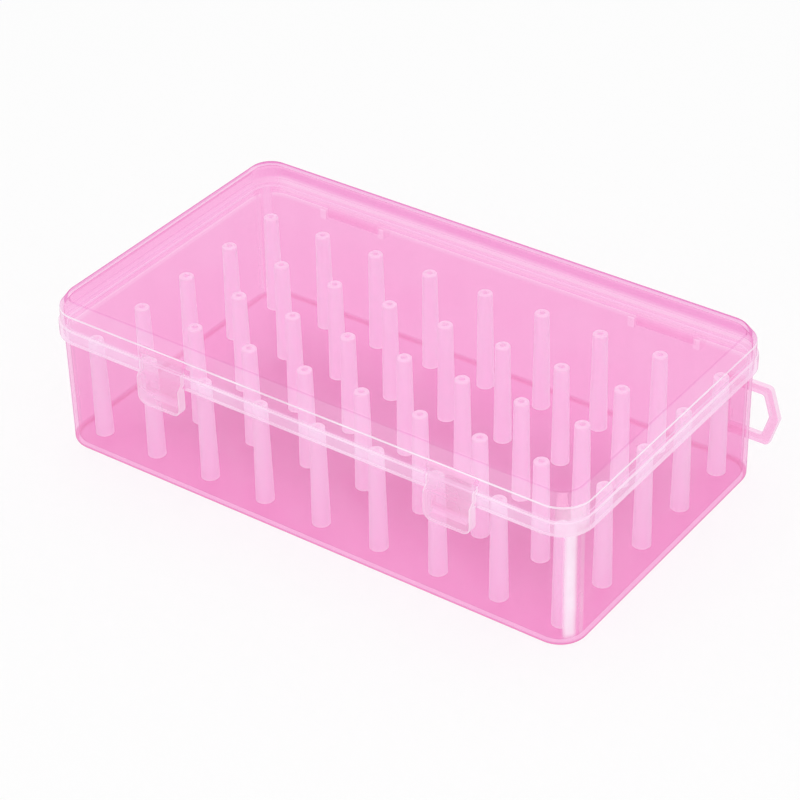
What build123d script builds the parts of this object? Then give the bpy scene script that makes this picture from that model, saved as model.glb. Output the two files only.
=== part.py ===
from build123d import *
import math
import os

# Thread spool storage box: a translucent tray with rows of spool pegs, under a hinged lid with two latches.
# Millimetres. X runs along the long side, the latches face -Y, +Z is up.
# The origin is the centre of the tray's underside.

os.makedirs("parts", exist_ok=True)

# ---- driving dimensions: outer form
box_length = 237.0  # over the lid's flange
box_depth = 137.0
box_height = 66.0
corner_radius = 13.0  # upright corners of the flange
lap_clearance = 0.3  # between the tray's wall and the flange that laps it
seat_clearance = 0.3  # between the tray's rim and the ledge above it

# ---- driving dimensions: lid
lid_height = 16.6  # from the flange's lower edge to the top
flange_height = 6.1
flange_wall = 1.5
flange_step = 0.8  # the upper wall stands in from the flange by this much
lid_wall = 1.6
upper_wall_height = 5.8
shoulder_inset = 3.6  # sideways run of the sloping shoulder
ledge_drop = 1.2  # the inner ledge lies this far below the outer step
top_edge_radius = 1.2
shoulder_edge_radius = 0.8
step_edge_radius = 0.4

# ---- driving dimensions: tray
tray_wall = 1.6
floor_thickness = 1.6
bottom_edge_radius = 2.0
floor_edge_radius = 1.2
rim_edge_radius = 0.4

# ---- driving dimensions: pegs
peg_columns = 9
peg_rows = 5
peg_end_distance = 12.9  # from the box's end to the middle of the nearest column
peg_side_distance = 13.7  # from the box's front or rear to the middle of the nearest row
peg_tip_z = 45.0
peg_base_diameter = 7.2
peg_tip_diameter = 5.9
peg_wall = 1.2
peg_tip_hole = 2.4
peg_tip_radius = 0.7
stub_diameter = 5.0
stub_height = 5.0
stub_clearance = 0.05  # radial, a push fit

# ---- driving dimensions: rear hinges
hinge_end_distance = 45.1  # from the box's end to the middle of the nearer hinge
hinge_leaf_width = 25.0
hinge_end_gap = 0.4  # between leaf and ear
hinge_ear_thickness = 3.0
hinge_bar_radius = 1.2
hinge_ear_radius = 2.4
hinge_knuckle_wall = 1.1
hinge_standoff = 3.2  # hinge axis behind the tray's rear wall
hinge_drop = 3.4  # hinge axis below the flange's lower edge
hinge_web_thickness = 1.8
running_clearance = 0.05  # radial, bar in knuckle or clip
mouth_share = 0.8  # width of a snap mouth against its bar's diameter
hinge_mouth_angle = -60.0
latch_mouth_angle = 20.0
loop_mouth_angle = 90.0

# ---- driving dimensions: latches
latch_left_distance = 57.1  # from the box's left end to the middle of the left latch
latch_right_distance = 50.5  # from the box's right end to the middle of the right latch
latch_width = 20.0
latch_side_gap = 1.0
latch_bar_radius = 1.0
latch_bar_drop = 2.4  # bar's axis below the shoulder line
latch_clip_wall = 0.85
latch_plate = 1.4
latch_stand = 2.7  # the flap stands this far out from the flange
latch_tail = 11.4  # the flap hangs this far below the flange
latch_corner_radius = 3.6
latch_proud = 0.4  # above the flap, the latch stands this far out from the flange
latch_bend = 2.2  # height over which the latch steps out to the flap
latch_rib = 1.2
latch_rib_depth = 2.2
latch_edge_radius = 0.4
hook_depth = 2.5
hook_thickness = 1.3
hook_root = 2.1  # thickness of the hook where it leaves the flap
hook_gap = 0.4  # between the hook and the lug above it
lug_width = 14.6
lug_depth = 2.5
lug_height = 1.6
lug_drop = 6.1  # underside of the catch lug, below the flange's lower edge
lug_slope = 2.4

# ---- driving dimensions: hanging loop
loop_bar_distance = 17.5  # from the box's right end to the pivot axis
loop_standoff = 2.6  # pivot axis behind the tray's rear wall
loop_centre_z = 23.9
loop_height = 26.2
loop_shoulder_x = 18.8  # bar axis to the corner where the tip begins
loop_tip_x = 22.8  # bar axis to the blunt tip
loop_band = 4.2
loop_thickness = 2.4
loop_corner_radius = 2.4
loop_tip_radius = 1.2
loop_edge_radius = 0.5
loop_clip_height = 3.2
loop_clip_spacing = 11.0
loop_clip_wall = 1.1

# ---- places worked out from the sizes
flange_bottom_z = box_height - lid_height
step_z = flange_bottom_z + flange_height
shoulder_z = step_z + upper_wall_height
ledge_z = step_z - ledge_drop
rim_z = ledge_z - seat_clearance
tray_inset = flange_wall + lap_clearance
tray_front_y = -box_depth / 2 + tray_inset
tray_rear_y = box_depth / 2 - tray_inset
hinge_y = tray_rear_y + hinge_standoff
hinge_z = flange_bottom_z - hinge_drop
hinge_knuckle_radius = hinge_bar_radius + running_clearance + hinge_knuckle_wall
hinge_reach = box_length / 2 - hinge_end_distance
hinge_centres = (-hinge_reach, hinge_reach)
latch_centres = (latch_left_distance - box_length / 2, box_length / 2 - latch_right_distance)
latch_bar_y = -box_depth / 2 + flange_step + lid_wall / 2
latch_bar_z = shoulder_z - latch_bar_drop
latch_clip_radius = latch_bar_radius + running_clearance + latch_clip_wall
latch_notch_width = latch_width + 2 * latch_side_gap
lug_z = flange_bottom_z - lug_drop
hook_z = lug_z - hook_gap
loop_bar_x = box_length / 2 - loop_bar_distance
loop_y = tray_rear_y + loop_standoff
loop_bar_radius = loop_thickness / 2
embed = 0.5  # depth to which a feature roots in the wall that carries it
overrun = 1.0  # a cut runs this far past the face it opens
level_band = 0.01  # edges this close to a height belong to it


def rounded_outline(inset, corner):
    """The box's outline, moved in by inset, with the given corner radius."""
    RectangleRounded(box_length - 2 * inset, box_depth - 2 * inset, corner)


def bar_seat(axis_u, axis_v, bar_radius, mouth_angle):
    """Cuts from the open sketch a round seat for a bar, and the narrower mouth that snaps onto the bar."""
    reach = 2 * (bar_radius + overrun)
    with Locations((axis_u, axis_v)):
        Circle(bar_radius + running_clearance, mode=Mode.SUBTRACT)
    mouth_u = axis_u + reach / 2 * math.cos(math.radians(mouth_angle))
    mouth_v = axis_v + reach / 2 * math.sin(math.radians(mouth_angle))
    with Locations((mouth_u, mouth_v)):
        Rectangle(reach, 2 * bar_radius * mouth_share, rotation=mouth_angle, mode=Mode.SUBTRACT)


# ---- tray
peg_pitch_x = (box_length - 2 * peg_end_distance) / (peg_columns - 1)
peg_pitch_y = (box_depth - 2 * peg_side_distance) / (peg_rows - 1)
peg_places = [
    (row, column, (column - (peg_columns - 1) / 2) * peg_pitch_x, ((peg_rows - 1) / 2 - row) * peg_pitch_y)
    for row in range(peg_rows)
    for column in range(peg_columns)
]
lug_profile = [
    (tray_front_y + embed, lug_z),
    (tray_front_y - lug_depth, lug_z),
    (tray_front_y - lug_depth, lug_z + lug_height),
    (tray_front_y, lug_z + lug_height + lug_slope),
    (tray_front_y + embed, lug_z + lug_height + lug_slope),
]

with BuildPart() as tray:
    with BuildSketch():
        rounded_outline(tray_inset, corner_radius - tray_inset)
    extrude(amount=rim_z)
    fillet(tray.faces().sort_by(Axis.Z)[0].edges(), bottom_edge_radius)
    with BuildSketch(Plane.XY.offset(floor_thickness)):
        rounded_outline(tray_inset + tray_wall, corner_radius - tray_inset - tray_wall)
    extrude(amount=rim_z - floor_thickness, mode=Mode.SUBTRACT)
    floor_band = (floor_thickness - level_band, floor_thickness + level_band)
    fillet(tray.edges().filter_by_position(Axis.Z, *floor_band), floor_edge_radius)
    fillet(tray.faces().sort_by(Axis.Z)[-1].edges(), rim_edge_radius)
    with BuildSketch(Plane.XY.offset(floor_thickness - embed)):
        with Locations([(x, y) for _, _, x, y in peg_places]):
            Circle(stub_diameter / 2)
    extrude(amount=embed + stub_height)
    for latch_x in latch_centres:
        with BuildSketch(Plane.YZ.offset(latch_x - lug_width / 2)):
            with BuildLine():
                Polyline(*lug_profile, close=True)
            make_face()
        extrude(amount=lug_width)
    for hinge_x in hinge_centres:
        ear_offset = hinge_leaf_width / 2 + hinge_end_gap
        for ear_x in (hinge_x - ear_offset - hinge_ear_thickness, hinge_x + ear_offset):
            with BuildSketch(Plane.YZ.offset(ear_x)):
                with Locations(((tray_rear_y - embed + hinge_y) / 2, hinge_z)):
                    Rectangle(hinge_standoff + embed, 2 * hinge_ear_radius)
                with Locations((hinge_y, hinge_z)):
                    Circle(hinge_ear_radius)
            extrude(amount=hinge_ear_thickness)
        with BuildSketch(Plane.YZ.offset(hinge_x - ear_offset - embed)):
            with Locations((hinge_y, hinge_z)):
                Circle(hinge_bar_radius)
        extrude(amount=2 * (ear_offset + embed))
    for clip_z in (loop_centre_z - loop_clip_spacing / 2, loop_centre_z + loop_clip_spacing / 2):
        clip_radius = loop_bar_radius + running_clearance + loop_clip_wall
        with BuildSketch(Plane.XY.offset(clip_z - loop_clip_height / 2)):
            with Locations((loop_bar_x, (tray_rear_y - embed + loop_y) / 2)):
                Rectangle(2 * clip_radius, loop_standoff + embed)
            with Locations((loop_bar_x, loop_y)):
                Circle(clip_radius)
            bar_seat(loop_bar_x, loop_y, loop_bar_radius, loop_mouth_angle)
        extrude(amount=loop_clip_height)
tray.part.label = "tray"
export_step(tray.part, "parts/tray.step")

# ---- pegs: hollow and tapered, each pushed onto its stub
peg_height = peg_tip_z - floor_thickness
peg_slope = (peg_base_diameter - peg_tip_diameter) / 2 / peg_height
socket_radius = stub_diameter / 2 + stub_clearance
bore_tip_radius = peg_tip_diameter / 2 - peg_wall
bore_base_radius = peg_base_diameter / 2 - peg_wall - peg_slope * stub_height
socket_top = stub_height + seat_clearance

for row, column, peg_x, peg_y in peg_places:
    peg_plane = Plane((peg_x, peg_y, floor_thickness), x_dir=(1, 0, 0), z_dir=(0, -1, 0))
    peg_profile = [
        (socket_radius, 0),
        (peg_base_diameter / 2, 0),
        (peg_tip_diameter / 2, peg_height),
        (peg_tip_hole / 2, peg_height),
        (peg_tip_hole / 2, peg_height - peg_wall),
        (bore_tip_radius, peg_height - peg_wall),
        (bore_base_radius, socket_top),
        (socket_radius, socket_top),
    ]
    with BuildPart() as peg:
        with BuildSketch(peg_plane):
            with BuildLine():
                Polyline(*peg_profile, close=True)
            make_face()
        revolve(axis=Axis((peg_x, peg_y, 0), (0, 0, 1)))
        tip_edges = peg.edges().filter_by(GeomType.CIRCLE).group_by(Axis.Z)[-1]
        fillet(tip_edges.sort_by(SortBy.RADIUS)[-1], peg_tip_radius)
    peg.part.label = f"peg_r{row + 1}_c{column + 1}"
    export_step(peg.part, f"parts/{peg.part.label}.step")

# ---- lid
shoulder_height = box_height - shoulder_z
top_inset = flange_step + shoulder_inset
slope_length = math.hypot(shoulder_inset, shoulder_height)
inner_slope_inset = flange_step + lid_wall * shoulder_height / slope_length
inner_slope_z = shoulder_z - lid_wall * shoulder_inset / slope_length
inner_wall_inset = flange_step + lid_wall
inner_wall_top_z = inner_slope_z + (inner_wall_inset - inner_slope_inset) * shoulder_height / shoulder_inset
ceiling_z = box_height - lid_wall
ceiling_inset = inner_slope_inset + (ceiling_z - inner_slope_z) * shoulder_inset / shoulder_height
web_front_y = hinge_y - hinge_knuckle_radius
web_top_z = flange_bottom_z + lid_wall
notch_top_z = latch_bar_z + latch_clip_radius + seat_clearance

with BuildPart() as lid:
    with BuildSketch(Plane.XY.offset(flange_bottom_z)):
        rounded_outline(0, corner_radius)
    extrude(amount=flange_height)
    fillet(lid.faces().sort_by(Axis.Z)[-1].edges(), step_edge_radius)
    fillet(lid.faces().sort_by(Axis.Z)[0].edges(), step_edge_radius)
    with BuildSketch(Plane.XY.offset(step_z)):
        rounded_outline(flange_step, corner_radius - flange_step)
    extrude(amount=upper_wall_height)
    with BuildSketch(Plane.XY.offset(shoulder_z)):
        rounded_outline(flange_step, corner_radius - flange_step)
    with BuildSketch(Plane.XY.offset(box_height)):
        rounded_outline(top_inset, corner_radius - top_inset)
    loft(ruled=True)
    fillet(lid.faces().sort_by(Axis.Z)[-1].edges(), top_edge_radius)
    shoulder_band = (shoulder_z - level_band, shoulder_z + level_band)
    fillet(lid.edges().filter_by_position(Axis.Z, *shoulder_band), shoulder_edge_radius)
    with BuildSketch(Plane.XY.offset(flange_bottom_z)):
        rounded_outline(flange_wall, corner_radius - flange_wall)
    extrude(amount=ledge_z - flange_bottom_z, mode=Mode.SUBTRACT)
    with BuildSketch(Plane.XY.offset(ledge_z)):
        rounded_outline(inner_wall_inset, corner_radius - inner_wall_inset)
    extrude(amount=inner_wall_top_z - ledge_z, mode=Mode.SUBTRACT)
    with BuildSketch(Plane.XY.offset(inner_wall_top_z)):
        rounded_outline(inner_wall_inset, corner_radius - inner_wall_inset)
    with BuildSketch(Plane.XY.offset(ceiling_z)):
        rounded_outline(ceiling_inset, corner_radius - ceiling_inset)
    loft(ruled=True, mode=Mode.SUBTRACT)
    for latch_x in latch_centres:
        with BuildSketch(Plane.XY.offset(flange_bottom_z)):
            with Locations((latch_x, -box_depth / 2 + inner_wall_inset / 2)):
                Rectangle(latch_notch_width, inner_wall_inset + overrun)
        extrude(amount=notch_top_z - flange_bottom_z, mode=Mode.SUBTRACT)
        with BuildSketch(Plane.YZ.offset(latch_x - latch_notch_width / 2 - lid_wall / 2)):
            with Locations((latch_bar_y, latch_bar_z)):
                Circle(latch_bar_radius)
        extrude(amount=latch_notch_width + lid_wall)
    for hinge_x in hinge_centres:
        with BuildSketch(Plane.YZ.offset(hinge_x - hinge_leaf_width / 2)):
            with Locations((web_front_y + hinge_web_thickness / 2, (hinge_z + web_top_z) / 2)):
                Rectangle(hinge_web_thickness, web_top_z - hinge_z)
            with Locations((hinge_y, hinge_z)):
                Circle(hinge_knuckle_radius)
            bar_seat(hinge_y, hinge_z, hinge_bar_radius, hinge_mouth_angle)
        extrude(amount=hinge_leaf_width)
lid.part.label = "lid"
export_step(lid.part, "parts/lid.step")

# ---- latches: each clips onto its bar in the lid and hooks under its lug on the tray
upper_face_y = latch_bar_y - latch_plate
lower_face_y = -box_depth / 2 - latch_proud
flap_face_y = -box_depth / 2 - latch_stand
flap_back_y = flap_face_y + latch_plate
flap_foot_z = flange_bottom_z - latch_tail
hook_tip_y = flap_back_y + hook_depth
latch_face = [
    (upper_face_y, latch_bar_z),
    (upper_face_y, step_z),
    (lower_face_y, step_z - (upper_face_y - lower_face_y)),
    (lower_face_y, flange_bottom_z + latch_bend),
    (flap_face_y, flange_bottom_z),
    (flap_face_y, flap_foot_z),
]
hook_profile = [
    (flap_back_y - embed, hook_z),
    (flap_back_y - embed, hook_z - hook_root),
    (flap_back_y, hook_z - hook_root),
    (hook_tip_y, hook_z - hook_thickness),
    (hook_tip_y, hook_z),
]

for side, latch_x in zip(("left", "right"), latch_centres):
    with BuildPart() as latch:
        with BuildSketch(Plane.YZ.offset(latch_x - latch_width / 2)):
            with BuildLine():
                Polyline(*latch_face)
                offset(amount=latch_plate, side=Side.LEFT, kind=Kind.INTERSECTION)
            make_face()
            with Locations((latch_bar_y, latch_bar_z)):
                Circle(latch_clip_radius)
            bar_seat(latch_bar_y, latch_bar_z, latch_bar_radius, latch_mouth_angle)
        extrude(amount=latch_width)
        for rib_x in (latch_x - latch_width / 2, latch_x + latch_width / 2 - latch_rib):
            with BuildSketch(Plane.YZ.offset(rib_x)):
                with Locations((flap_back_y + latch_rib_depth / 2, flange_bottom_z - latch_tail / 2)):
                    Rectangle(latch_rib_depth, latch_tail)
            extrude(amount=latch_rib)
        foot_corners = latch.edges().filter_by(Axis.Y).group_by(Axis.Z)[0].group_by(Axis.X)
        fillet(foot_corners[0] + foot_corners[-1], latch_corner_radius)
        fillet(latch.faces().sort_by(Axis.Y)[0].edges(), latch_edge_radius)
        with BuildSketch(Plane.YZ.offset(latch_x - lug_width / 2)):
            with BuildLine():
                Polyline(*hook_profile, close=True)
            make_face()
        extrude(amount=lug_width)
    latch.part.label = f"latch_{side}"
    export_step(latch.part, f"parts/{latch.part.label}.step")

# ---- hanging loop
half_height = loop_height / 2
tip_side_length = math.hypot(loop_tip_x - loop_shoulder_x, half_height)
window_tip_x = loop_tip_x - loop_band * tip_side_length / half_height
window_half_height = half_height - loop_band
window_shoulder_x = window_tip_x - (loop_tip_x - loop_shoulder_x) * window_half_height / half_height
loop_outline = [
    (loop_bar_x, loop_centre_z - half_height),
    (loop_bar_x + loop_shoulder_x, loop_centre_z - half_height),
    (loop_bar_x + loop_tip_x, loop_centre_z),
    (loop_bar_x + loop_shoulder_x, loop_centre_z + half_height),
    (loop_bar_x, loop_centre_z + half_height),
]
window_outline = [
    (loop_bar_x - loop_bar_radius, loop_centre_z - window_half_height),
    (loop_bar_x + window_shoulder_x, loop_centre_z - window_half_height),
    (loop_bar_x + window_tip_x, loop_centre_z),
    (loop_bar_x + window_shoulder_x, loop_centre_z + window_half_height),
    (loop_bar_x - loop_bar_radius, loop_centre_z + window_half_height),
]

with BuildPart() as hanger:
    with BuildSketch(Plane.XZ.offset(-loop_y - loop_thickness / 2)) as ring:
        with BuildLine():
            Polyline(*loop_outline, close=True)
        make_face()
        outer_corners = ring.vertices().filter_by(lambda v: v.X > loop_bar_x + embed).sort_by(Axis.X)
        fillet(outer_corners[:2], loop_corner_radius)
        fillet(ring.vertices().sort_by(Axis.X)[-1], loop_tip_radius)
        with BuildSketch(mode=Mode.PRIVATE) as window:
            with BuildLine():
                Polyline(*window_outline, close=True)
            make_face()
            inner_corners = window.vertices().filter_by(lambda v: v.X > loop_bar_x + embed).sort_by(Axis.X)
            fillet(inner_corners, loop_tip_radius)
        add(window.sketch, mode=Mode.SUBTRACT)
    extrude(amount=loop_thickness)
    fillet(hanger.faces().filter_by(Axis.Y).edges(), loop_edge_radius)
    with BuildSketch(Plane.XY.offset(loop_centre_z - half_height)):
        with Locations((loop_bar_x, loop_y)):
            Circle(loop_bar_radius)
    extrude(amount=loop_height)
hanger.part.label = "hanger"
export_step(hanger.part, "parts/hanger.step")
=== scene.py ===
import math
from collections import namedtuple

import bpy
from mathutils import Matrix, Vector


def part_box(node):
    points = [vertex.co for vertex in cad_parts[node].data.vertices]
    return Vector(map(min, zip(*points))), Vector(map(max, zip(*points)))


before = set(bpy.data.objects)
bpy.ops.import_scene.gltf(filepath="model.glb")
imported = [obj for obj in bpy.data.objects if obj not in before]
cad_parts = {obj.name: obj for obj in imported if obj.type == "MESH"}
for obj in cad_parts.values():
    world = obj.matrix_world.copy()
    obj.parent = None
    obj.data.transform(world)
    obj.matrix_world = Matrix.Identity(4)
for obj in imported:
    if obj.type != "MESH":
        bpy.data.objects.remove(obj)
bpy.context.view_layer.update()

scene = bpy.context.scene
MM = 0.001

# ---- places on the box, as its solids have them
lid_low, lid_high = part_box("lid")
latch_low, latch_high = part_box("latch_left")
half_length = lid_high.x
half_depth = -lid_low.y
corner_radius = 13.0 * MM

lid_height = 16.6 * MM  # from the flange's lower edge to the top
flange_height = 6.1 * MM
upper_wall_height = 5.8 * MM
lid_top_z = lid_high.z
flange_bottom_z = lid_top_z - lid_height
step_z = flange_bottom_z + flange_height
shoulder_z = step_z + upper_wall_height
lid_fillet_z = lid_top_z - 2.2 * MM
rear_shade_z = 57.0 * MM  # the rear of the lid carries a painted shade, deep pink, above it and is clear below

latch_half_width = 10.0 * MM
latch_corner = 3.6 * MM
flap_back_y = latch_low.y + 1.4 * MM

rim_z = 54.0 * MM
rear_wall_y = half_depth - 1.8 * MM
floor_top_z = 1.6 * MM
floor_fillet_z = 2.0 * MM
peg_tip_z = 45.0 * MM
soft = 0.2 * MM  # how far most layers fade into each other

# ---- colours: a tint colours what shows through the plastic, a milk is the colour of its haze
wall_tint = (0.98, 0.76, 0.895)
low_wall_tint = (0.978, 0.72, 0.88)
under_lid_tint = (1.0, 0.94, 0.975)
foot_tint = (0.90, 0.36, 0.64)
# tint of the painted shade in the middle of the tray's floor
floor_shade_tint = (0.875, 0.53, 0.745)
floor_edge_tint = (0.955, 0.665, 0.855)
lid_tint = (0.997, 0.79, 0.92)
# tint of the painted shade at the rear of the lid
rear_shade_tint = (0.95, 0.62, 0.84)
flange_tint = (1.0, 0.90, 0.975)
rim_tint = (0.96, 0.64, 0.85)
hinge_tint = (1.0, 0.97, 0.985)
edge_tint = (0.85, 0.26, 0.62)
light_tint = (1.0, 0.95, 0.98)
wall_milk = (1.0, 0.74, 0.92)
# milk of the painted shade in the floor's middle, and of the tray's foot
floor_shade_and_foot_milk = (0.84, 0.38, 0.63)
floor_edge_milk = (0.98, 0.50, 0.76)
band_milk = (1.0, 0.80, 0.97)
# near-white haze of the painted highlights on edges, lines and corners; also the pale haze of the
# thin hinge parts
highlight_and_hinge_milk = (1.0, 0.90, 0.99)
loop_milk = (1.0, 0.56, 0.81)
peg_pink = (1.0, 0.89, 0.99)
peg_flow_pink = (1.0, 0.8455, 0.9702)
# colour of the painted highlights at the pegs' tip rims and feet
peg_highlight_pink = (1.0, 0.96, 1.0)

# ---- how the clear plastic answers to being met edge on (0 is head on, 1 is edge on)
deepening = (0.76, 0.90)  # where the tint starts to deepen, and where it is deepest
rounded_deepening = (0.46, 0.62)  # the same in the rounded places
edge_haze = 0.04
skin_gloss = 0.04
edge_gloss = 0.04

peg_light_haze = 0.15  # share of the light through a peg that it scatters


# ---- small helpers for building materials out of nodes
class Nodes:
    """A material's node tree, with short calls to add and link its nodes."""

    def __init__(self, name):
        self.material = bpy.data.materials.new(name)
        self.material.use_nodes = True
        self.tree = self.material.node_tree
        self.tree.nodes.clear()
        self.output = self.tree.nodes.new("ShaderNodeOutputMaterial")

    def add(self, kind, **settings):
        node = self.tree.nodes.new("ShaderNode" + kind)
        for key, value in settings.items():
            setattr(node, key, value)
        return node

    def feed(self, socket, value):
        """Fill a socket from another socket, from a node's first output or with a plain value."""
        if isinstance(value, bpy.types.NodeSocket):
            self.tree.links.new(value, socket)
        elif hasattr(value, "outputs"):
            self.tree.links.new(value.outputs[0], socket)
        else:
            socket.default_value = value

    def math(self, operation, a, b=0.0, clamp=False):
        node = self.add("Math", operation=operation, use_clamp=clamp)
        self.feed(node.inputs[0], a)
        self.feed(node.inputs[1], b)
        return node.outputs[0]

    def all_of(self, *masks):
        """1 only where every mask is 1."""
        result = masks[0]
        for mask in masks[1:]:
            result = self.math("MULTIPLY", result, mask)
        return result

    # The Mix node keeps sockets for every data type under the same names, so these go by number.
    def mix_colour(self, factor, a, b):
        node = self.add("Mix", data_type="RGBA")
        self.feed(node.inputs[0], factor)
        self.feed(node.inputs[6], a)
        self.feed(node.inputs[7], b)
        return node.outputs[2]

    def mix_value(self, factor, a, b):
        node = self.add("Mix", data_type="FLOAT")
        self.feed(node.inputs[0], factor)
        self.feed(node.inputs[2], a)
        self.feed(node.inputs[3], b)
        return node.outputs[0]

    def mix_shader(self, factor, a, b):
        node = self.add("MixShader")
        self.feed(node.inputs[0], factor)
        self.feed(node.inputs[1], a)
        self.feed(node.inputs[2], b)
        return node

    def ramp(self, value, low, high, from_value=0.0, to_value=1.0):
        node = self.add("MapRange", interpolation_type="SMOOTHSTEP")
        self.feed(node.inputs["Value"], value)
        node.inputs["From Min"].default_value = low
        node.inputs["From Max"].default_value = high
        node.inputs["To Min"].default_value = from_value
        node.inputs["To Max"].default_value = to_value
        return node.outputs["Result"]

    def above(self, value, level, blend):
        """0 up to a level, then rising to 1 over the blend."""
        return self.ramp(value, level, level + blend)

    def below(self, value, level, blend):
        """1 up to a level, then falling to 0 over the blend."""
        return self.ramp(value, level, level + blend, 1.0, 0.0)

    def band(self, value, low, high, blend):
        """1 between two levels and 0 beyond them, with soft edges."""
        return self.all_of(self.above(value, low - blend, blend), self.below(value, high, blend))

    def axis(self, name, kind="Object"):
        """One coordinate in the part's own frame: of the place (Object) or the normal (Normal)."""
        place = self.add("TexCoord")
        split = self.add("SeparateXYZ")
        self.tree.links.new(place.outputs[kind], split.inputs[0])
        return split.outputs[name]

    def facing(self, name):
        """1 where the surface faces along an axis, either way, and 0 where it is square to it."""
        return self.math("ABSOLUTE", self.axis(name, "Normal"))

    def noise(self, scale, detail=2.0, stretch=(1.0, 1.0, 1.0)):
        """Smooth noise, about scale waves to the metre and fewer along an axis of small stretch."""
        place = self.add("TexCoord")
        shape = self.add("Mapping")
        shape.inputs["Scale"].default_value = stretch
        node = self.add("TexNoise")
        self.tree.links.new(place.outputs["Object"], shape.inputs["Vector"])
        self.tree.links.new(shape.outputs["Vector"], node.inputs["Vector"])
        node.inputs["Scale"].default_value = scale
        node.inputs["Detail"].default_value = detail
        return node.outputs["Fac"]

    def graze(self):
        """0 where the surface is met head on and 1 where it is met edge on, from either side."""
        node = self.add("LayerWeight")
        node.inputs["Blend"].default_value = 0.5
        return node.outputs["Facing"]

    def edge_on(self, graze, power, amount):
        """An amount that is reached only where the surface is met edge on."""
        return self.math("MULTIPLY", self.math("POWER", graze, power), amount)

    def outline_distance(self, u, v, centre, half, radius):
        """Distance from a rounded rectangle in the plane of u and v, negative inside it."""
        reach = []
        for value, middle, extent in zip((u, v), centre, half):
            away = self.math("ABSOLUTE", self.math("SUBTRACT", value, middle))
            reach.append(self.math("SUBTRACT", away, extent - radius))
        outside = [self.math("MAXIMUM", r, 0.0) for r in reach]
        squares = [self.math("MULTIPLY", o, o) for o in outside]
        corner = self.math("SQRT", self.math("ADD", *squares))
        inner = self.math("MINIMUM", self.math("MAXIMUM", *reach), 0.0)
        return self.math("SUBTRACT", self.math("ADD", corner, inner), radius)

    def box_inset(self):
        """How far inside the box's outline a place lies."""
        half = (half_length, half_depth)
        outline = self.outline_distance(self.axis("X"), self.axis("Y"), (0, 0), half, corner_radius)
        return self.math("MULTIPLY", outline, -1.0)

    def painted_corner_highlight(self, angle, wide, narrow):
        """Painted highlight: a soft upright streak on the rounded corners, where the wall has
        turned through an angle.

        It is full up to narrow degrees from that angle and gone at wide degrees.
        """
        turn = math.radians(angle)
        along = self.math("MULTIPLY", self.facing("X"), math.sin(turn))
        across = self.math("MULTIPLY", self.facing("Y"), math.cos(turn))
        towards = self.math("ADD", along, across)
        return self.ramp(towards, math.cos(math.radians(wide)), math.cos(math.radians(narrow)))

    def finish(self, shader):
        self.tree.links.new(shader.outputs[0], self.output.inputs["Surface"])
        return self.material


# ---- the finishes
# A place in the clear plastic that differs from the rest of its part; haze is how milky a face is.
# Some layers are painted highlights and painted shade.
Layer = namedtuple("Layer", "mask haze milk tint")


def clear_pink(name, haze, milk, tint, layers, rounded=None, calm=None):
    """Clear pink plastic: tinted see-through, a little milky, with a glossy skin.

    The layers are laid over the part's own haze, milk and tint in their order. The tint deepens
    where a face is met edge on: sooner in the rounded places, and not at all in the calm ones.
    """
    n = Nodes(name)
    milk, tint = (*milk, 1.0), (*tint, 1.0)
    for layer in layers(n):
        haze = n.mix_value(layer.mask, haze, layer.haze)
        milk = n.mix_colour(layer.mask, milk, (*layer.milk, 1.0))
        tint = n.mix_colour(layer.mask, tint, (*layer.tint, 1.0))
    graze = n.graze()
    cloud = n.ramp(n.noise(38.0, detail=3.0), 0.35, 0.65, from_value=0.85, to_value=1.15)
    haze = n.math("MULTIPLY", haze, cloud)
    haze = n.math("ADD", haze, n.edge_on(graze, 4.0, edge_haze), clamp=True)
    deep = n.ramp(graze, *deepening)
    if rounded:
        deep = n.math("MAXIMUM", deep, n.all_of(n.ramp(graze, *rounded_deepening), rounded(n)))
    if calm:
        deep = n.all_of(deep, n.math("SUBTRACT", 1.0, calm(n)))

    clear = n.add("BsdfTransparent")
    n.feed(clear.inputs["Color"], n.mix_colour(deep, tint, (*edge_tint, 1.0)))
    body = n.add("BsdfPrincipled")
    n.feed(body.inputs["Base Color"], milk)
    body.inputs["Roughness"].default_value = 0.2
    skin = n.add("BsdfGlossy")
    skin.inputs["Roughness"].default_value = 0.12
    skin.inputs["Color"].default_value = (1.0, 0.97, 0.99, 1.0)
    wave = n.add("Bump")
    wave.inputs["Strength"].default_value = 0.15
    wave.inputs["Distance"].default_value = 0.1 * MM
    n.feed(wave.inputs["Height"], n.noise(90.0))
    n.feed(skin.inputs["Normal"], wave)
    mirrored = n.math("ADD", n.edge_on(graze, 5.0, edge_gloss), skin_gloss, clamp=True)
    seen = n.mix_shader(mirrored, n.mix_shader(haze, clear, body), skin)

    passing = n.add("BsdfTransparent")
    passing.inputs["Color"].default_value = (*light_tint, 1.0)
    path = n.add("LightPath")
    return n.finish(n.mix_shader(path.outputs["Is Camera Ray"], passing, seen))


def lid_top_edge(n):
    not_level = n.below(n.facing("Z"), 0.95, 0.04)
    return n.all_of(n.above(n.axis("Z"), lid_fillet_z, 2 * soft), not_level)


def lid_hinge_arms(n):
    return n.above(n.axis("Y"), half_depth - soft, soft)


def tray_hinge_leaves(n):
    return n.above(n.axis("Y"), rear_wall_y + 0.1 * MM, soft)


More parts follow.
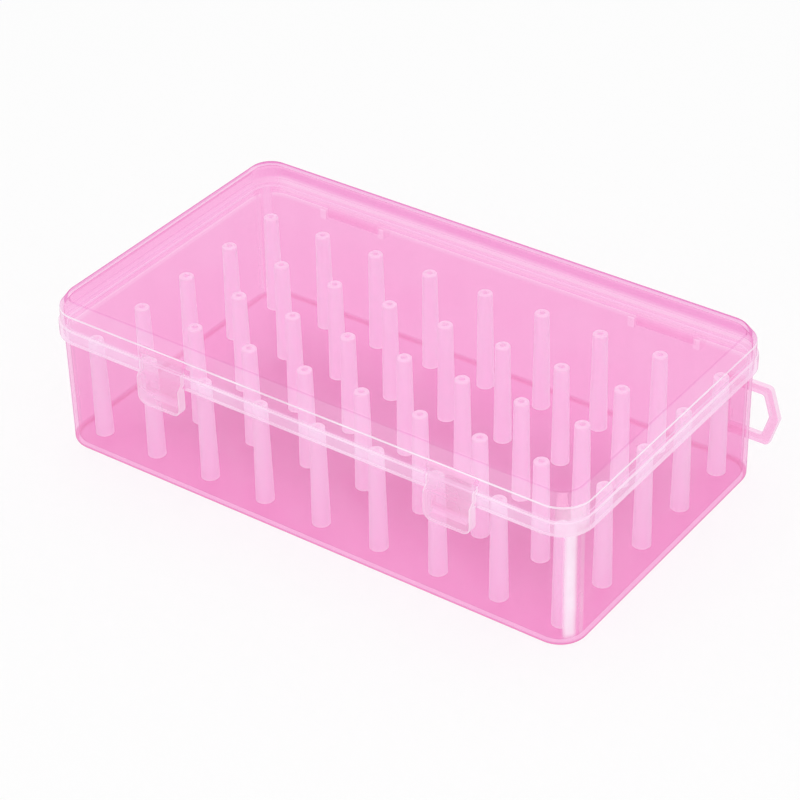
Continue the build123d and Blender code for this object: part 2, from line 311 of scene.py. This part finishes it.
def lid_layers(n):
    y, z = n.axis("Y"), n.axis("Z")
    inset = n.box_inset()
    outer = n.below(inset, 1.3 * MM, 2 * soft)
    slope = n.band(z, shoulder_z, lid_top_z - 0.6 * MM, soft)
    rim_strip = n.below(inset, 3.0 * MM, 1.0 * MM)
    rear = n.all_of(rim_strip, n.above(y, half_depth - 16.0 * MM, 12.0 * MM))
    # painted shade: a deeper pink band along the rear of the lid's upper part
    rear_shade = n.all_of(rear, n.above(z, rear_shade_z, 1.0 * MM))
    clear_rear = n.all_of(rear, n.below(z, rear_shade_z, 1.0 * MM))
    # painted highlight: soft upright streaks down the rounded corners of the lid's walls
    corners = n.all_of(n.painted_corner_highlight(50, 38, 8), n.below(z, shoulder_z, soft), outer)
    top_line = n.band(z, lid_top_z - 0.4 * MM, lid_top_z - 0.1 * MM, 0.1 * MM)
    # painted highlights: thin bright lines along the shoulder and the step
    shoulder_highlight = n.band(z, shoulder_z - 0.3 * MM, shoulder_z + 0.2 * MM, soft)
    step_highlight = n.band(z, step_z - 0.2 * MM, step_z + 0.1 * MM, soft)
    return [
        Layer(n.below(z, step_z, soft), 0.24, band_milk, flange_tint),
        Layer(n.band(z, step_z, shoulder_z, soft), 0.16, band_milk, lid_tint),
        Layer(slope, 0.15, band_milk, lid_tint),
        Layer(rear_shade, 0.05, band_milk, rear_shade_tint),
        Layer(clear_rear, 0.10, band_milk, under_lid_tint),
        Layer(corners, 0.42, highlight_and_hinge_milk, lid_tint),
        Layer(top_line, 0.10, band_milk, rim_tint),
        # painted highlight lines along the shoulder, the step and the flange's lower edge
        Layer(n.all_of(shoulder_highlight, outer), 0.75, highlight_and_hinge_milk, lid_tint),
        Layer(n.all_of(step_highlight, outer), 0.50, highlight_and_hinge_milk, lid_tint),
        Layer(n.below(z, flange_bottom_z + 0.3 * MM, 0.1 * MM), 0.65, highlight_and_hinge_milk, lid_tint),
        Layer(lid_hinge_arms(n), 0.06, highlight_and_hinge_milk, hinge_tint),
    ]


def tray_layers(n):
    z = n.axis("Z")
    not_level = n.below(n.facing("Z"), 0.90, 0.09)
    low_wall = n.below(z, floor_fillet_z, 44.0 * MM)
    under_lid = n.above(z, flange_bottom_z - 1.0 * MM, 1.0 * MM)
    floor = n.below(z, floor_fillet_z, 0.6 * MM)
    # painted shade: the floor deepens towards its middle, among the pegs
    floor_middle_shade = n.all_of(floor, n.above(n.box_inset(), 4.0 * MM, 46.0 * MM))
    foot = n.all_of(n.below(z, 1.2 * MM, 1.2 * MM), not_level)
    upright = n.above(z, floor_fillet_z, 4.0 * MM)
    # painted highlight: white lines along the rounded edges of the tray's rim
    rim_highlight = n.all_of(n.above(z, rim_z - 0.9 * MM, 0.3 * MM), not_level)
    return [
        Layer(low_wall, 0.09, wall_milk, low_wall_tint),
        Layer(under_lid, 0.05, band_milk, under_lid_tint),
        Layer(floor, 0.20, floor_edge_milk, floor_edge_tint),
        Layer(floor_middle_shade, 0.20, floor_shade_and_foot_milk, floor_shade_tint),
        Layer(foot, 0.12, floor_shade_and_foot_milk, foot_tint),
        Layer(tray_hinge_leaves(n), 0.06, highlight_and_hinge_milk, hinge_tint),
        # painted highlights: soft upright streaks down the rounded corners of the tray
        Layer(n.all_of(n.painted_corner_highlight(74, 6, 2), upright), 0.25, highlight_and_hinge_milk, wall_tint),
        Layer(n.all_of(n.painted_corner_highlight(50, 16, 3), upright), 0.72, highlight_and_hinge_milk, wall_tint),
        Layer(rim_highlight, 0.90, highlight_and_hinge_milk, under_lid_tint),
    ]


def latch_layers(middle_x):
    def layers(n):
        x, z = n.axis("X"), n.axis("Z")
        middle_z = (latch_low.z + latch_high.z) / 2
        half = (latch_half_width, (latch_high.z - latch_low.z) / 2)
        from_outline = n.outline_distance(x, z, (middle_x, middle_z), half, latch_corner)
        flap = n.below(z, flange_bottom_z - 1.0 * MM, 1.0 * MM)
        below_clip = n.below(z, step_z, 1.0 * MM)
        back = n.all_of(n.above(n.axis("Y"), flap_back_y + 0.2 * MM, soft), flap)
        # painted highlights: bright milk on the flap's sides and round its border
        side_highlights = n.all_of(n.above(n.facing("X"), 0.75, 0.17), flap)
        border_highlight = n.all_of(n.above(from_outline, -0.55 * MM, 0.25 * MM), below_clip)
        return [
            Layer(back, 0.52, band_milk, wall_tint),
            Layer(side_highlights, 0.50, highlight_and_hinge_milk, wall_tint),
            Layer(border_highlight, 0.60, highlight_and_hinge_milk, wall_tint),
        ]

    return layers


def hanger_layers(n):
    # painted highlights: bright milk on the ring's edge faces
    ring_edge_highlights = n.below(n.facing("Y"), 0.85, 0.12)
    return [Layer(ring_edge_highlights, 0.50, highlight_and_hinge_milk, wall_tint)]


def milky_pink(name):
    """The pegs' milky plastic: soft inside, with painted highlights at the rim of the tip and round
    the foot.
    """
    n = Nodes(name)
    z = n.axis("Z")
    # painted highlights: a pale ring at the rim of the tip and round the foot
    rim_highlight = n.above(z, peg_tip_z - 1.0 * MM, 0.7 * MM)
    foot = n.below(z, floor_top_z + 0.6 * MM, 0.6 * MM)
    flow = n.ramp(n.noise(260.0, stretch=(1.0, 1.0, 0.08)), 0.35, 0.65)
    colour = n.mix_colour(flow, (*peg_pink, 1.0), (*peg_flow_pink, 1.0))
    colour = n.mix_colour(n.math("MAXIMUM", rim_highlight, foot), colour, (*peg_highlight_pink, 1.0))
    body = n.add("BsdfPrincipled")
    n.feed(body.inputs["Base Color"], colour)
    body.inputs["Roughness"].default_value = 0.3
    body.inputs["Subsurface Weight"].default_value = 0.3
    body.inputs["Subsurface Radius"].default_value = (0.003, 0.002, 0.0025)
    body.inputs["Subsurface Scale"].default_value = 1.0
    passing = n.add("BsdfTransparent")
    passing.inputs["Color"].default_value = (*light_tint, 1.0)
    scattered = n.add("BsdfDiffuse")
    scattered.inputs["Color"].default_value = (*peg_pink, 1.0)
    light = n.mix_shader(peg_light_haze, passing, scattered)
    path = n.add("LightPath")
    return n.finish(n.mix_shader(path.outputs["Is Camera Ray"], light, body))


def dress(node, material):
    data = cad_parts[node].data
    data.materials.clear()
    data.materials.append(material)


tray_pink = clear_pink(
    "tray_pink", haze=0.08, milk=wall_milk, tint=wall_tint,
    layers=tray_layers, calm=tray_hinge_leaves,
)
dress("tray", tray_pink)
lid_pink = clear_pink(
    "lid_pink", haze=0.02, milk=wall_milk, tint=lid_tint,
    layers=lid_layers, rounded=lid_top_edge, calm=lid_hinge_arms,
)
dress("lid", lid_pink)
for name in ("latch_left", "latch_right"):
    low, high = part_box(name)
    latch_pink = clear_pink(
        name + "_pink", haze=0.26, milk=band_milk, tint=wall_tint,
        layers=latch_layers((low.x + high.x) / 2),
    )
    dress(name, latch_pink)
hanger_pink = clear_pink(
    "hanger_pink", haze=0.26, milk=loop_milk, tint=wall_tint, layers=hanger_layers
)
dress("hanger", hanger_pink)
peg_milky = milky_pink("peg_milky_pink")
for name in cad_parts:
    if name.startswith("peg_"):
        dress(name, peg_milky)

# ---- studio: a white floor, soft light from all round, a large soft lamp above and one in front
floor_half_width = 4.0
floor_gap = 0.05 * MM
floor_white = 0.97
floor_seen_white = 0.54  # share of plain white in the floor as seen, which softens the shadow
world_strength = 0.8


def seen_directly(tree):
    """1 for what the camera sees itself, in a mirror or through clear plastic.

    It is 0 for the light that falls on things.
    """
    path = tree.nodes.new("ShaderNodeLightPath")
    seen = path.outputs["Is Camera Ray"]
    for other in ("Is Glossy Ray", "Is Transmission Ray"):
        either = tree.nodes.new("ShaderNodeMath")
        either.operation = "MAXIMUM"
        tree.links.new(seen, either.inputs[0])
        tree.links.new(path.outputs[other], either.inputs[1])
        seen = either.outputs[0]
    return seen


def white_floor():
    n = Nodes("floor_white")
    diffuse = n.add("BsdfDiffuse")
    diffuse.inputs["Color"].default_value = (floor_white, floor_white, floor_white, 1.0)
    white = n.add("Emission")
    seen = n.math("MULTIPLY", seen_directly(n.tree), floor_seen_white)
    mesh = bpy.data.meshes.new("floor")
    half = floor_half_width
    corners = [(-half, -half, 0), (half, -half, 0), (half, half, 0), (-half, half, 0)]
    mesh.from_pydata(corners, [], [(0, 1, 2, 3)])
    mesh.materials.append(n.finish(n.mix_shader(seen, diffuse, white)))
    floor = bpy.data.objects.new("floor", mesh)
    floor.location.z = -floor_gap
    scene.collection.objects.link(floor)


def white_world():
    """Even light from all round, which the camera sees as plain white."""
    world = bpy.data.worlds.new("studio")
    scene.world = world
    world.use_nodes = True
    tree = world.node_tree
    tree.nodes.clear()
    level = tree.nodes.new("ShaderNodeMapRange")
    level.inputs["To Min"].default_value = world_strength
    level.inputs["To Max"].default_value = 1.0
    tree.links.new(seen_directly(tree), level.inputs["Value"])
    light = tree.nodes.new("ShaderNodeBackground")
    light.inputs["Color"].default_value = (1.0, 1.0, 1.0, 1.0)
    tree.links.new(level.outputs["Result"], light.inputs["Strength"])
    out = tree.nodes.new("ShaderNodeOutputWorld")
    tree.links.new(light.outputs[0], out.inputs["Surface"])


def soft_lamp(name, place, target, size, power):
    data = bpy.data.lights.new(name, "AREA")
    data.shape = "RECTANGLE"
    data.size, data.size_y = size
    data.energy = power
    lamp = bpy.data.objects.new(name, data)
    lamp.location = place
    lamp.rotation_mode = "QUATERNION"
    lamp.rotation_quaternion = (Vector(target) - Vector(place)).to_track_quat("-Z", "Y")
    scene.collection.objects.link(lamp)


white_floor()
white_world()
soft_lamp("top_lamp", place=(-0.25, 0.35, 1.5), target=(0, 0, 0), size=(1.2, 1.2), power=4.0)
soft_lamp("front_lamp", place=(0.8, -1.1, 0.9), target=(0, 0, 0.03), size=(0.9, 0.9), power=3.5)

# ---- camera, as fitted to the box's edges in the photo; angles in degrees
view_yaw = 36.118
view_pitch = 34.461
view_roll = -1.391
view_distance = 1.00826
view_target = Vector((4.937, -10.106, 33.0)) * MM
focal_share = 2681.85 / 800  # focal length over picture width, both in pixels
sensor_width = 36.0


def place_camera():
    yaw, pitch, roll = (math.radians(a) for a in (view_yaw, view_pitch, view_roll))
    level = math.cos(pitch)
    back = Vector((math.sin(yaw) * level, -math.cos(yaw) * level, math.sin(pitch)))
    right = (-back).cross(Vector((0, 0, 1))).normalized()
    up = right.cross(-back)
    side = right * math.cos(roll) + up * math.sin(roll)
    top = up * math.cos(roll) - right * math.sin(roll)
    data = bpy.data.cameras.new("camera")
    data.sensor_width = sensor_width
    data.lens = focal_share * sensor_width
    data.clip_start = 0.05
    data.clip_end = 30.0
    camera = bpy.data.objects.new("camera", data)
    turn = Matrix((side, top, back)).transposed().to_4x4()
    camera.matrix_world = Matrix.Translation(view_target + back * view_distance) @ turn
    scene.collection.objects.link(camera)
    scene.camera = camera


place_camera()
scene.view_settings.view_transform = "Standard"
scene.cycles.transparent_max_bounces = 32  # faces of clear plastic that one look may pass through
